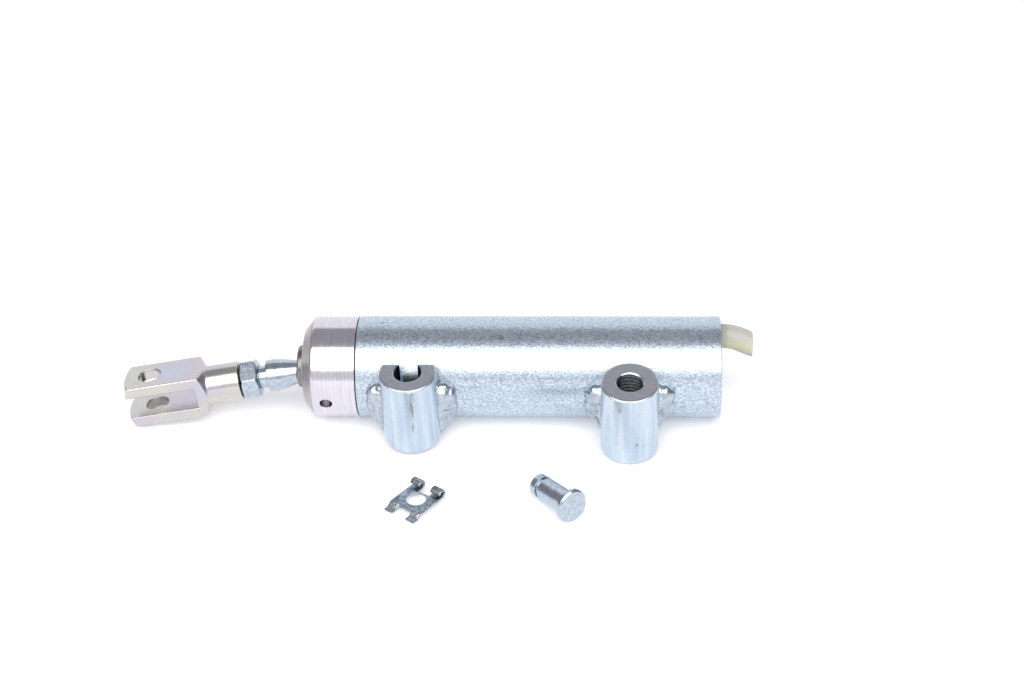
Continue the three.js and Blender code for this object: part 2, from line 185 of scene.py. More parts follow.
def gradient(field, p, step):
    """The field's slope at the points p, by central differences."""
    slope = []
    for axis in range(3):
        shift = np.zeros(3)
        shift[axis] = step
        ahead, behind = p + shift, p - shift
        slope.append((field(*ahead.T) - field(*behind.T)) / (2 * step))
    return np.stack(slope, 1)


def carved(name, field, low, high, cell, place):
    """A closed mesh of the surface where field(x, y, z) is zero, by surface nets.

    Each vertex is then drawn onto the surface, and takes the field's slope as its normal."""
    axes = [np.arange(a - 2 * cell, b + 3 * cell, cell) for a, b in zip(low, high)]
    value = field(*np.meshgrid(*axes, indexing="ij")).astype(np.float64)
    inside = value < 0
    shape = np.array(value.shape) - 1
    total = int(shape.prod())
    sums, count = np.zeros((total, 3)), np.zeros(total)
    edges = []
    for axis in range(3):
        near = [slice(None)] * 3
        far = [slice(None)] * 3
        near[axis], far[axis] = slice(0, -1), slice(1, None)
        near, far = tuple(near), tuple(far)
        at = np.argwhere(inside[near] != inside[far])
        v0, v1 = value[near][tuple(at.T)], value[far][tuple(at.T)]
        crossing = np.stack([axes[k][at[:, k]] for k in range(3)], 1)
        crossing[:, axis] += cell * v0 / (v0 - v1)
        u, w = (axis + 1) % 3, (axis + 2) % 3
        corners = []
        for du, dw in ((0, 0), (1, 0), (1, 1), (0, 1)):
            cube = at.copy()
            cube[:, u] -= du
            cube[:, w] -= dw
            flat = (cube[:, 0] * shape[1] + cube[:, 1]) * shape[2] + cube[:, 2]
            corners.append(flat)
            count += np.bincount(flat, minlength=total)
            for k in range(3):
                sums[:, k] += np.bincount(flat, weights=crossing[:, k], minlength=total)
        quads = np.stack(corners, 1)
        edges.append(np.where((v0 < 0)[:, None], quads, quads[:, ::-1]))
    used = np.flatnonzero(count)
    points = sums[used] / count[used, None]
    number = np.zeros(total, int)
    number[used] = np.arange(len(used))
    faces = number[np.concatenate(edges)]
    for _ in range(3):
        slope = gradient(field, points, cell * 0.05)
        length = np.maximum((slope ** 2).sum(1), 0.05)
        move = slope * (field(*points.T) / length)[:, None]
        reach = np.maximum(np.linalg.norm(move, axis=1) / (0.5 * cell), 1)
        points = points - move / reach[:, None]
    slope = gradient(field, points, cell * 0.25)
    normals = slope / np.maximum(np.linalg.norm(slope, axis=1), 1e-9)[:, None]
    return make_object(name, points, faces.tolist(), normals, place)


def smax(a, b, blend):
    """The larger of two fields, with the corner between them rounded over about that width."""
    reach = np.maximum(blend - np.abs(a - b), 0) / blend
    return np.maximum(a, b) + reach * reach * blend / 4


def smin(a, b, blend):
    return -smax(-a, -b, blend)


def slab(a, low, high):
    return np.maximum(low - a, a - high)


def thread_wave(along, around, pitch):
    """0 at a thread's root and 1 at its crest, with flats cut off both."""
    phase = (along / pitch - around / (2 * math.pi)) % 1
    return np.clip(1.25 * (1 - np.abs(2 * phase - 1)) - 0.125, 0, 1)


def wire(name, path, radius, place, sides=12):
    """A round wire along a path of points, with flat ends."""
    path = np.array(path, float)
    along = np.gradient(path, axis=0)
    along /= np.linalg.norm(along, axis=1)[:, None]
    side = np.cross(along[0], (0, 1, 0.01))
    angles = np.arange(sides) * 2 * math.pi / sides
    rings = []
    for centre, direction in zip(path, along):
        side = side - direction * (side @ direction)
        side /= np.linalg.norm(side)
        spokes = np.cos(angles)[:, None] * side + np.sin(angles)[:, None] * np.cross(direction, side)
        rings.append(centre + spokes * radius)
    faces = [tuple(range(sides))[::-1]]
    for i in range(len(rings) - 1):
        a, b = i * sides, (i + 1) * sides
        for k in range(sides):
            n = (k + 1) % sides
            faces.append((a + k, a + n, b + n, b + k))
    last = (len(rings) - 1) * sides
    faces.append(tuple(range(last, last + sides)))
    return make_object(name, np.concatenate(rings), faces, None, place)


# ---------- material tools ----------
class Finish:
    """A procedural material: a Principled shader, and short calls that feed it."""

    def __init__(self, name, colour, metallic, roughness):
        self.material = bpy.data.materials.new(name)
        self.material.use_nodes = True
        self.nodes = self.material.node_tree.nodes
        self.link = self.material.node_tree.links.new
        self.shader = self.nodes["Principled BSDF"]
        self.shader.inputs["Base Color"].default_value = (*colour, 1)
        self.shader.inputs["Metallic"].default_value = metallic
        self.shader.inputs["Roughness"].default_value = roughness
        self.place = self.nodes.new("ShaderNodeTexCoord").outputs["Object"]
        self.normal = None

    def stretched(self, scale):
        mapping = self.nodes.new("ShaderNodeMapping")
        mapping.inputs["Scale"].default_value = scale
        self.link(self.place, mapping.inputs["Vector"])
        return mapping.outputs["Vector"]

    def noise(self, grain_mm, detail=3, stretch=(1, 1, 1), roughness=0.55):
        """Noise whose features are about grain_mm across, or longer where stretch is below 1."""
        node = self.nodes.new("ShaderNodeTexNoise")
        node.inputs["Scale"].default_value = 1 / (grain_mm * MM)
        node.inputs["Detail"].default_value = detail
        node.inputs["Roughness"].default_value = roughness
        self.link(self.stretched(stretch), node.inputs["Vector"])
        return node.outputs["Fac"]

    def pits(self, size_mm):
        node = self.nodes.new("ShaderNodeTexVoronoi")
        node.inputs["Scale"].default_value = 1 / (size_mm * MM)
        self.link(self.place, node.inputs["Vector"])
        return node.outputs["Distance"]

    def spread(self, socket, low, high, to_low, to_high):
        node = self.nodes.new("ShaderNodeMapRange")
        node.inputs["From Min"].default_value = low
        node.inputs["From Max"].default_value = high
        node.inputs["To Min"].default_value = to_low
        node.inputs["To Max"].default_value = to_high
        self.link(socket, node.inputs["Value"])
        return node.outputs["Result"]

    def colours(self, socket, stops):
        node = self.nodes.new("ShaderNodeValToRGB")
        ramp = node.color_ramp
        while len(ramp.elements) < len(stops):
            ramp.elements.new(0.5)
        for element, (position, colour) in zip(ramp.elements, stops):
            element.position = position
            element.color = (*colour, 1)
        self.link(socket, node.inputs["Fac"])
        return node.outputs["Color"]

    def multiply(self, a, b):
        node = self.nodes.new("ShaderNodeMath")
        node.operation = "MULTIPLY"
        self.link(a, node.inputs[0])
        self.link(b, node.inputs[1])
        return node.outputs[0]

    def scuffs(self, marks, start):
        """Darkens a few small worn places, each given by its centre and half-sizes in millimetres."""
        ragged = self.spread(self.noise(0.9, 3), 0.3, 0.7, 0.3, 1.3)
        result = start
        for centre, half in marks:
            mapping = self.nodes.new("ShaderNodeMapping")
            mapping.vector_type = "TEXTURE"
            mapping.inputs["Location"].default_value = [c * MM for c in centre]
            mapping.inputs["Scale"].default_value = [h * MM for h in half]
            self.link(self.place, mapping.inputs["Vector"])
            length = self.nodes.new("ShaderNodeVectorMath")
            length.operation = "LENGTH"
            self.link(mapping.outputs["Vector"], length.inputs[0])
            worn = self.multiply(self.spread(length.outputs["Value"], 0.2, 1, 0.75, 0), ragged)
            mix = self.nodes.new("ShaderNodeMix")
            mix.data_type = "RGBA"
            self.link(worn, mix.inputs["Factor"])
            self.link(result, mix.inputs[6])
            mix.inputs[7].default_value = (0.13, 0.13, 0.15, 1)
            result = mix.outputs[2]
        return result

    def feed(self, socket, name):
        self.link(socket, self.shader.inputs[name])

    def bump(self, socket, depth_mm, strength=1.0):
        node = self.nodes.new("ShaderNodeBump")
        node.inputs["Distance"].default_value = depth_mm * MM
        node.inputs["Strength"].default_value = strength
        self.link(socket, node.inputs["Height"])
        if self.normal is not None:
            self.link(self.normal, node.inputs["Normal"])
        self.normal = node.outputs["Normal"]
        self.link(self.normal, self.shader.inputs["Normal"])


# ---------- materials ----------
def zinc_tube():
    """Blue-white zinc over drawn steel: finely grained, faintly mottled, with a few small scuffs."""
    f = Finish("zinc_tube", (0.49, 0.56, 0.65), 1, 0.3)
    grain = f.noise(0.6, 3, (0.7, 1, 1))
    colour = f.colours(grain, [
        (0.36, (0.33, 0.39, 0.46)), (0.5, (0.49, 0.57, 0.64)), (0.64, (0.64, 0.72, 0.79))])
    colour = f.scuffs([((-119.5, 0.5, 18), (1.2, 1, 0.8)), ((-77, -7, 16), (1.6, 1.2, 1.5)),
                       ((-48, -17.5, -6), (1.0, 1, 1.1)), ((-15, 3, 17.5), (2.2, 0.7, 0.8))], colour)
    f.feed(colour, "Base Color")
    f.feed(f.spread(f.noise(1.6, 5), 0.3, 0.7, 0.26, 0.36), "Roughness")
    f.bump(f.noise(0.9, 2), 0.05, 0.9)
    f.bump(f.noise(4, 2), 0.02, 0.3)
    return f.material


def zinc_boss():
    """Brighter, smoother zinc with soft streaks down the boss and a few scuffs."""
    f = Finish("zinc_boss", (0.50, 0.58, 0.68), 1, 0.2)
    streaks = f.noise(2.6, 3, (1, 1, 0.07))
    colour = f.colours(streaks, [
        (0.3, (0.41, 0.49, 0.61)), (0.5, (0.50, 0.59, 0.67)), (0.7, (0.60, 0.67, 0.72))])
    colour = f.scuffs([((-106.5, -32.1, 9), (0.35, 1, 5)), ((-106.9, -32.2, 0.5), (0.5, 1, 3)),
                       ((-29.6, -37, -2.5), (0.8, 1, 1.1)), ((-27.2, -36.2, -3.8), (0.5, 1, 0.4)),
                       ((-35.5, -36.6, 13.5), (0.8, 1, 1.6))], colour)
    f.feed(colour, "Base Color")
    f.feed(f.spread(f.noise(1.5, 4), 0.3, 0.7, 0.15, 0.3), "Roughness")
    f.bump(f.noise(2.2, 3, (1, 1, 0.25)), 0.025, 0.5)
    f.bump(f.noise(0.5, 2), 0.008, 0.5)
    return f.material


def cut_steel():
    """The bosses' sawn and faced ends, a duller grey with arcs of fine tool marks."""
    f = Finish("cut_steel", (0.40, 0.41, 0.45), 1, 0.38)
    marks = f.noise(0.45, 3, (0.12, 1, 1))
    f.feed(f.colours(marks, [(0.3, (0.33, 0.34, 0.38)), (0.7, (0.48, 0.49, 0.54))]), "Base Color")
    f.bump(marks, 0.02, 0.5)
    return f.material


def bored_steel():
    """Painted shade inside the bores: a near-black, slightly patchy steel colour that stands in for the
    shade deep in the holes.
    """
    f = Finish("bored_steel", (0.05, 0.06, 0.065), 1, 0.42)
    shade_patchiness = f.noise(1.2, 3)
    # painted shade: the near-black, patchy colour of the bore walls
    f.feed(f.colours(shade_patchiness, [(0.3, (0.025, 0.032, 0.036)), (0.7, (0.07, 0.085, 0.09))]), "Base Color")
    f.bump(f.noise(0.5, 3), 0.02, 0.5)
    return f.material


def weld_metal():
    """Plated weld metal: the tube's colour, but lumpier and more uneven."""
    f = Finish("weld_metal", (0.45, 0.51, 0.57), 1, 0.24)
    patches = f.noise(2.6, 4)
    f.feed(f.colours(patches, [(0.3, (0.31, 0.36, 0.38)), (0.55, (0.47, 0.53, 0.59))]), "Base Color")
    f.feed(f.spread(f.noise(1.2, 4), 0.3, 0.7, 0.16, 0.34), "Roughness")
    f.bump(f.noise(2.2, 2), 0.12, 0.5)
    return f.material


def turned_aluminium():
    """Aluminium turned on a lathe: the tool marks run round the X axis."""
    f = Finish("turned_aluminium", (0.64, 0.63, 0.69), 1, 0.13)
    marks = f.noise(0.4, 2, (1, 0.03, 0.03))
    f.feed(f.colours(marks, [(0.3, (0.59, 0.575, 0.62)), (0.7, (0.69, 0.675, 0.73))]), "Base Color")
    f.feed(f.spread(f.noise(1.2, 3, (1, 0.4, 0.4)), 0.3, 0.7, 0.1, 0.19), "Roughness")
    f.bump(marks, 0.006, 0.5)
    return f.material


def coarse_turned():
    """The cap's chamfer: real coarser tool marks, on a darker copy of the cap's aluminium colour that is
    painted shade.
    """
    f = Finish("coarse_turned", (0.42, 0.40, 0.42), 1, 0.3)
    marks = f.noise(0.3, 2, (1, 0.02, 0.02))
    # painted shade: a darker copy of the cap's aluminium, for the chamfer that faces away to the side
    f.feed(f.colours(marks, [(0.3, (0.26, 0.245, 0.25)), (0.7, (0.52, 0.50, 0.52))]), "Base Color")
    f.bump(marks, 0.03, 0.7)
    return f.material


def turned_steel():
    f = Finish("turned_steel", (0.26, 0.235, 0.235), 1, 0.3)
    marks = f.noise(0.35, 2, (1, 0.05, 0.05))
    f.feed(f.colours(marks, [(0.3, (0.18, 0.16, 0.16)), (0.7, (0.31, 0.28, 0.28))]), "Base Color")
    f.bump(marks, 0.01, 0.5)
    return f.material


def bright_zinc():
    """Clear bright zinc on the rod, nut and pin."""
    f = Finish("bright_zinc", (0.44, 0.51, 0.58), 1, 0.15)
    f.feed(f.colours(f.noise(1.4, 4), [(0.3, (0.35, 0.42, 0.49)), (0.7, (0.53, 0.59, 0.65))]), "Base Color")
    f.feed(f.spread(f.noise(0.8, 3), 0.3, 0.7, 0.1, 0.24), "Roughness")
    f.bump(f.noise(0.6, 3), 0.03, 0.6)
    return f.material


def iridescent_zinc():
    """Passivated zinc on the fork, drifting between yellow-green, pink and lilac."""
    f = Finish("iridescent_zinc", (0.56, 0.55, 0.53), 1, 0.2)
    drift = f.noise(13, 1, (0.6, 1, 1))
    f.feed(f.colours(drift, [
        (0.30, (0.53, 0.56, 0.47)), (0.46, (0.56, 0.55, 0.51)), (0.56, (0.54, 0.50, 0.54)),
        (0.70, (0.50, 0.52, 0.60))]), "Base Color")
    f.feed(f.spread(f.noise(1.5, 4), 0.3, 0.7, 0.16, 0.3), "Roughness")
    f.bump(f.noise(0.6, 3), 0.012, 0.5)
    return f.material


def natural_nylon():
    """Cream nylon that lets some light through. Its colour is set by height: the greyer top is a painted
    highlight, the lilac bottom is painted shade, and the yellow-green middle is the nylon's own colour.
    """
    f = Finish("natural_nylon", (0.56, 0.55, 0.45), 0, 0.38)
    level = f.nodes.new("ShaderNodeVectorMath")
    level.operation = "DOT_PRODUCT"
    f.link(f.place, level.inputs[0])
    level.inputs[1].default_value = (0.3, 0, 1)
    light_and_shade_by_height = f.spread(level.outputs["Value"], -5 * MM, 5 * MM, 0, 1)
    # painted highlight above and painted shade below, set by height; the nylon's own yellow-green between
    f.feed(f.colours(light_and_shade_by_height, [(0.22, (0.50, 0.46, 0.53)), (0.4, (0.58, 0.59, 0.40)),
                              (0.62, (0.60, 0.61, 0.41)), (0.8, (0.57, 0.55, 0.50))]), "Base Color")
    f.shader.inputs["Subsurface Weight"].default_value = 0.4
    f.shader.inputs["Subsurface Radius"].default_value = (0.004, 0.004, 0.002)
    f.shader.inputs["Transmission Weight"].default_value = 0.25
    f.bump(f.noise(1.2, 2), 0.02, 0.3)
    return f.material


def spring_wire():
    f = Finish("spring_wire", (0.36, 0.37, 0.39), 1, 0.35)
    f.feed(f.spread(f.noise(0.6, 3), 0.3, 0.7, 0.25, 0.5), "Roughness")
    f.bump(f.noise(0.3, 2), 0.01, 0.4)
    return f.material


def dark_strip():
    """Hardened spring strip with a thin, dark blue-grey plating."""
    f = Finish("dark_strip", (0.34, 0.37, 0.41), 1, 0.18)
    patches = f.noise(1.4, 3)
    f.feed(f.colours(patches, [(0.35, (0.20, 0.23, 0.26)), (0.65, (0.46, 0.50, 0.54))]), "Base Color")
    f.feed(f.spread(f.noise(0.8, 3), 0.3, 0.7, 0.12, 0.28), "Roughness")
    f.bump(f.noise(0.9, 3), 0.05, 0.6)
    return f.material


def sintered_bronze():
    f = Finish("sintered_bronze", (0.56, 0.40, 0.22), 1, 0.45)
    f.feed(f.colours(f.noise(0.8, 4), [(0.3, (0.46, 0.32, 0.17)), (0.7, (0.64, 0.48, 0.28))]), "Base Color")
    f.bump(f.pits(0.35), 0.02, 0.4)
    return f.material


def seal_rubber():
    f = Finish("seal_rubber", (0.025, 0.025, 0.028), 0, 0.6)
    f.feed(f.spread(f.noise(1, 3), 0.3, 0.7, 0.5, 0.75), "Roughness")
    f.bump(f.noise(0.4, 3), 0.01, 0.5)
    return f.material


FINISHES = {make.__name__: make() for make in (
    zinc_tube, zinc_boss, cut_steel, bored_steel, weld_metal, turned_aluminium, coarse_turned,
    turned_steel, bright_zinc, iridescent_zinc, natural_nylon, spring_wire, dark_strip,
    sintered_bronze, seal_rubber)}


def settle(piece, body, slot, finishes, *nodes):
    """Gives a finished piece its materials, and ties it to the frame."""
    for name in finishes.split():
        piece.data.materials.append(FINISHES[name])
    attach(piece, body)
    if nodes:
        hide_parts(*nodes)
    return piece


def paint_faces(piece, index, test):
    """Gives material `index` to the faces whose centre (mm) and normal pass the test."""
    for polygon in piece.data.polygons:
        if test(polygon.center / MM, polygon.normal):
            polygon.material_index = index


# ---------- barrel ----------
BORE_RADIUS = 15
BOSS_RADIUS = 10
FRONT_BOSS_X = box_mm("front_boss")[0][0] + BOSS_RADIUS
REAR_BOSS_X = box_mm("rear_boss")[0][0] + BOSS_RADIUS
BOSS_TOP = in_barrel("front_boss_top").z
BOSS_LOW = in_barrel("front_boss_bottom").z
FRONT_BOSS_OUT = 22.3
REAR_BOSS_OUT = 27.2
FRONT_FLAT = 18.2
FRONT_BORE = 4.9
PORT = (7.4, 8.2)
TRUNK_RADIUS = 8
MOUTH_BORE = TRUNK_RADIUS + 0.8
BUSH_INNER = TRUNK_RADIUS + 0.1
BUSH_OUTER = BUSH_INNER + 1.6
BUSH_BORE = BUSH_OUTER + 0.2
BUSH_FRONT, BUSH_REAR = -141.9, -117
SPIGOT_RADIUS = 14.7
SEAL_GROOVE = (-121.2, -118.6)
SEAL_GROOVE_FLOOR = 13
WIPER_GROOVE = (-145.5, -142.3)
WIPER_GROOVE_DEPTH = 0.4


def barrel_tube():
    rear, bevel = -2.5, 0.9
    profile = [(rear, BORE_RADIUS), (JOINT_X, BORE_RADIUS), (JOINT_X, TUBE_RADIUS),
               (rear - bevel, TUBE_RADIUS), (rear, TUBE_RADIUS - bevel)]
    piece = turned("tube", profile, UPRIGHT, 0.3, closed=True, sides=256)
    settle(piece, "barrel", "zinc_plate", "zinc_tube", "barrel_tube")


def rear_cover():
    """A flange with a weld groove at its edge, a spigot in the tube, and the stepped air port."""
    thickness, spigot_end, bevel = 2.2, -6, 0.9
    port_radius, seat_radius, seat_depth = 3.3, 4.7, 1.8

    def field(x, y, z):
        radius = np.hypot(y, z)
        spigot = smax(radius - SPIGOT_RADIUS, slab(x, spigot_end, -1), 0.4)
        flange = smax(radius - TUBE_RADIUS, slab(x, -thickness, 0), 0.5)
        groove = (radius - TUBE_RADIUS + bevel - (x + thickness)) * math.sqrt(0.5)
        body = np.minimum(spigot, smax(flange, groove, 0.2))
        port = np.hypot(y - PORT[0], z - PORT[1])
        body = smax(body, port_radius - port, 0.3)
        return smax(body, -np.maximum(port - seat_radius, -seat_depth - x), 0.3)
    piece = carved("cover", field, (spigot_end, -18, -18), (0, 18, 18), 0.3, BARREL)
    settle(piece, "barrel", "zinc_plate", "zinc_tube", "rear_cover")


def rear_cover_weld():
    """The bead in the groove between tube and cover, ground almost flush."""
    flush = TUBE_RADIUS + 0.015
    profile = [(-2.35, TUBE_RADIUS - 0.8), (-3.8, flush), (-0.9, flush)]
    piece = turned("cover_weld", profile, UPRIGHT, 0.05, closed=True, sides=256)
    settle(piece, "barrel", "weld_bead", "zinc_tube", "rear_cover_weld")


def boss_field(x, y, z, out, chamfer=0.5):
    """A boss's outer form, in axes centred on the boss but level with the barrel."""
    radius = np.hypot(x, y + out)
    body = smax(radius - BOSS_RADIUS, slab(z, BOSS_LOW, BOSS_TOP), 0.25)
    rim = np.maximum(z - BOSS_TOP, BOSS_LOW - z)
    return smax(body, (radius - BOSS_RADIUS + rim + chamfer) * math.sqrt(0.5), 0.35)


def front_boss_body(x, y, z):
    """The front boss with its rear flat."""
    return smax(boss_field(x, y, z, FRONT_BOSS_OUT), y + FRONT_FLAT, 0.9)


def rear_boss_body(x, y, z):
    return boss_field(x, y, z, REAR_BOSS_OUT)


def paint_boss(piece, x, out, bore):
    """Faced ends in bare cut steel, and the bore in a near-black painted shade."""
    def is_end_face(centre, normal):
        return abs(normal.z) > 0.9 and min(abs(centre.z - BOSS_TOP), abs(centre.z - BOSS_LOW)) < 0.15

    def is_bore(centre, normal):
        radius = math.hypot(centre.x - x, centre.y + out)
        return radius < bore + 0.1 and BOSS_LOW + 0.6 < centre.z < BOSS_TOP - 0.6
    paint_faces(piece, 1, is_end_face)
    # the bore faces get the near-black painted shade
    paint_faces(piece, 2, is_bore)


def front_boss():
    def field(x, y, z):
        x = x - FRONT_BOSS_X
        bore = FRONT_BORE - np.hypot(x, y + FRONT_BOSS_OUT)
        return smax(front_boss_body(x, y, z), bore, 0.5)
    low = (FRONT_BOSS_X - 10, -FRONT_BOSS_OUT - 10, BOSS_LOW)
    high = (FRONT_BOSS_X + 10, -FRONT_FLAT, BOSS_TOP)
    piece = carved("front_boss_body", field, low, high, 0.25, BARREL)
    settle(piece, "barrel", "zinc_plate", "zinc_boss cut_steel bored_steel", "front_boss")
    paint_boss(piece, FRONT_BOSS_X, FRONT_BOSS_OUT, FRONT_BORE)


def rear_boss():
    """The rear boss, with an M10 thread, a countersunk mouth and a saddle that fits the tube."""
    minor, major, pitch = 4.3, 5.0, 1.5
    mouth_radius = 4.85

    def field(x, y, z):
        x = x - REAR_BOSS_X
        body = smax(rear_boss_body(x, y, z), TUBE_RADIUS + 0.2 - np.hypot(y, z), 0.2)
        out = y + REAR_BOSS_OUT
        radius = np.hypot(x, out)
        wall = major - (major - minor) * thread_wave(z, np.arctan2(out, x), pitch)
        rim = np.maximum(z - BOSS_TOP, BOSS_LOW - z)
        mouth = mouth_radius + rim
        return smax(body, np.maximum(wall, mouth) - radius, 0.2)
    low = (REAR_BOSS_X - 10, -REAR_BOSS_OUT - 10, BOSS_LOW)
    high = (REAR_BOSS_X + 10, -TUBE_RADIUS + 2, BOSS_TOP)
    piece = carved("rear_boss_body", field, low, high, 0.22, BARREL)
    settle(piece, "barrel", "zinc_plate", "zinc_boss cut_steel bored_steel", "rear_boss")
    paint_boss(piece, REAR_BOSS_X, REAR_BOSS_OUT, 5)


def ellipsoid(place, centre, half):
    """Distance outside an ellipsoid, true only across its narrowest way."""
    total = sum(((at - middle) / size) ** 2 for at, middle, size in zip(place, centre, half))
    return (np.sqrt(total) - 1) * min(half)


def fillet_weld(name, boss_x, boss_body, side, node):
    """A bead down the wedge between a boss's flank and the tube, with a lump near its top."""
    bead_centre, bead_half = (11.2, -19.2, -3.0), (5.4, 5.4, 11.6)
    lump_centre, lump_half = (11.6, -18.9, 4.4), (3.4, 2.2, 3.2)
    ripple_pitch, ripple_height, sway_height = 1.9, 0.09, 0.15
    sunk = 0.12

    def field(x, y, z):
        local = x - boss_x
        tube = np.hypot(y, z) - TUBE_RADIUS
        boss = boss_body(local, y, z)
        place = (side * local, y, z)
        chevron = z + 0.5 * np.abs(side * local - 11.5)
        ripple = ripple_height * np.sin(2 * math.pi * chevron / ripple_pitch)
        ripple = ripple + sway_height * np.sin(z * 0.9 + side)
        spatter = 0.3 * np.sin(1.5 * x + 0.8 * z) * np.cos(1.3 * z - 0.7 * x)
        bead = smax(smin(tube, boss, 13) + ripple, ellipsoid(place, bead_centre, bead_half), 2.2)
        bead = smin(bead, ellipsoid(place, lump_centre, lump_half) + spatter, 2.6)
        return np.maximum(bead, np.maximum(-tube - sunk, -boss - sunk))
    low = (boss_x + (4 if side > 0 else -18), -26, -13.5)
    high = (boss_x + (18 if side > 0 else -4), -12, 9.5)
    piece = carved(name, field, low, high, 0.22, BARREL)
    settle(piece, "barrel", "weld_bead", "weld_metal", node)


def front_cap():
    """The turned cap: chamfered face, spigot with a seal groove, and two radial spanner holes."""
    joint = JOINT_X - 0.25
    front = CAP_X
    spigot_end = JOINT_X + 13.4
    hole_x, hole_turn, hole_radius = -139, math.radians(6), 2.15
    hole_floor, countersink_tip, bush_stop = 12, 15.5, -142.4
    chamfer, face_radius = 3.8, 13.3
    rise, run = TUBE_RADIUS - face_radius, chamfer
    slope = np.array((rise, run)) / math.hypot(rise, run)

    def field(x, y, z):
        radius = np.hypot(y, z)
        head = smax(radius - TUBE_RADIUS, slab(x, front, joint), 0.35)
        head = smax(head, (front - x) * slope[0] + (radius - face_radius) * slope[1], 0.5)
        spigot = smax(radius - SPIGOT_RADIUS, slab(x, joint - 1, spigot_end), 0.4)
        body = np.minimum(head, spigot)
        seal_groove = np.maximum(slab(x, *SEAL_GROOVE), SEAL_GROOVE_FLOOR - radius)
        body = smax(body, -seal_groove, 0.2)
        body = smax(body, MOUTH_BORE - radius, 0.3)
        wiper_groove = np.maximum(radius - BUSH_BORE - WIPER_GROOVE_DEPTH, slab(x, *WIPER_GROOVE))
        body = smax(body, -wiper_groove, 0.2)
        body = smax(body, -np.maximum(radius - BUSH_BORE, bush_stop - x), 0.2)
        for turn in (hole_turn, hole_turn + math.pi):
            across = y * math.sin(turn) - z * math.cos(turn)
            outward = -y * math.cos(turn) - z * math.sin(turn)
            drill = np.hypot(x - hole_x, across)
            mouth = drill - outward + countersink_tip
            hole = np.maximum(np.minimum(drill - hole_radius, mouth), hole_floor - outward)
            body = smax(body, -hole, 0.25)
        return body

    def is_chamfer(centre, normal):
        return centre.x < front + chamfer - 0.1 and math.hypot(centre.y, centre.z) > face_radius - 0.2
    piece = carved("cap", field, (front, -18, -18), (spigot_end, 18, 18), 0.3, BARREL)
    settle(piece, "barrel", "turned_aluminium", "turned_aluminium coarse_turned", "front_cap")
    # the chamfer gets the darker painted-shade copy of the cap's aluminium
    paint_faces(piece, 1, is_chamfer)


def barrel_fittings():
    """Seals, guide and seat inside the cap."""
    seal_x, seal_ring, seal_wire = -119.9, 14.02, 0.9
    seal = [(seal_x + seal_wire * math.cos(t), seal_ring + seal_wire * math.sin(t))
            for t in np.linspace(0, 2 * math.pi, 24, endpoint=False)]
    settle(turned("cap_o_ring", seal, UPRIGHT, 0.05, closed=True), "barrel", "seal_rubber",
           "seal_rubber", "cap_seal_ring")
    bush = [(BUSH_FRONT, BUSH_INNER), (BUSH_FRONT, BUSH_OUTER), (BUSH_REAR, BUSH_OUTER),
            (BUSH_REAR, BUSH_INNER)]
    settle(turned("guide_bush", bush, UPRIGHT, 0.4, closed=True), "barrel", "bearing_bronze",
           "sintered_bronze", "rod_guide_bush")
    rim = BUSH_BORE + 0.2
    lip, front, heel = -145.3, -145.2, -142.5
    wiper = [(lip, BUSH_INNER), (front, BUSH_INNER + 0.5), (front, rim), (heel, rim),
             (heel, BUSH_INNER + 0.2)]
    settle(turned("wiper", wiper, UPRIGHT, 0.2, closed=True), "barrel", "seal_rubber",
           "seal_rubber", "rod_wiper")
    seat_front, seat_rear, seat_radius = -113.9, -113, 14.4
    seat = [(seat_front, MOUTH_BORE), (seat_front, seat_radius), (seat_rear, seat_radius),
            (seat_rear, MOUTH_BORE)]
    settle(turned("spring_seat", seat, UPRIGHT, 0.2, closed=True), "barrel", "zinc_plate",
           "bright_zinc", "spring_seat_washer")


def return_spring():
    """Nine coils of 2 mm wire with closed ends."""
    low, high = box_mm("return_spring")
    wire_radius, mean, turns = 1.0, 11.0, 9
    closed = 0.5 / turns
    path = []
    for t in np.linspace(0, 1, turns * 40 + 1):
        lead = min(max((t - closed) / (1 - 2 * closed), 0), 1)
        angle = 2 * math.pi * turns * t
        x = high[0] - wire_radius + (low[0] - high[0] + 2 * wire_radius) * lead
        path.append((x, mean * math.sin(angle), mean * math.cos(angle)))
    piece = wire("spring_coils", path, wire_radius, UPRIGHT)
    settle(piece, "barrel", "spring_steel", "spring_wire", "return_spring")
    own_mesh(piece)


def air_elbow():
    """A translucent plastic stub with moulded ribs at its root, drooping to an upright open end."""
    place = BARREL @ Matrix.Translation(Vector((0, *PORT)) * MM)
    reach, wall, slope = 11.7, 1.3, 0.5
    outer_radius, stem_radius = 4.3, 3.0
    bend_start, bend_end = 0.5, 7.0

    def field(x, y, z):
        run = np.clip((x - bend_start) / (bend_end - bend_start), 0, 1)
        sag = slope * (run * run * (bend_end - bend_start) / 2 + np.maximum(x - bend_end, 0))
        lean = np.cos(np.arctan(slope * run))
        radius = np.hypot(y, (z + sag) * lean)
        rib = 0.16 * np.cos(2 * math.pi * x / 0.9) * (x < 2.3)
        shell = smax(radius - outer_radius - rib, slab(x, 0.2, reach), 0.5)
        stem = smax(radius - stem_radius, slab(x, -5.6, 1), 0.4)
        bore = np.where(x < 2.6, 1.6, outer_radius - wall)
        return smax(np.minimum(shell, stem), bore - radius, 0.3)
    low, high = (-5.6, -4.7, -4.9 - slope * (reach - 3.75)), (reach, 4.7, 4.7)
    piece = carved("elbow", field, low, high, 0.2, place)
    settle(piece, "barrel", "natural_nylon", "natural_nylon", "air_elbow")
    washer = [(-1.5, 3.2), (-1.5, 4.4), (-0.1, 4.4), (-0.1, 3.2)]
    seal = turned("port_washer", washer, place, 0.4, closed=True, sides=64)
    settle(seal, "barrel", "seal_rubber", "seal_rubber", "port_seal")


# ---------- piston and trunk rod ----------
PISTON_X = -12.5
PISTON_FRONT = -26.5


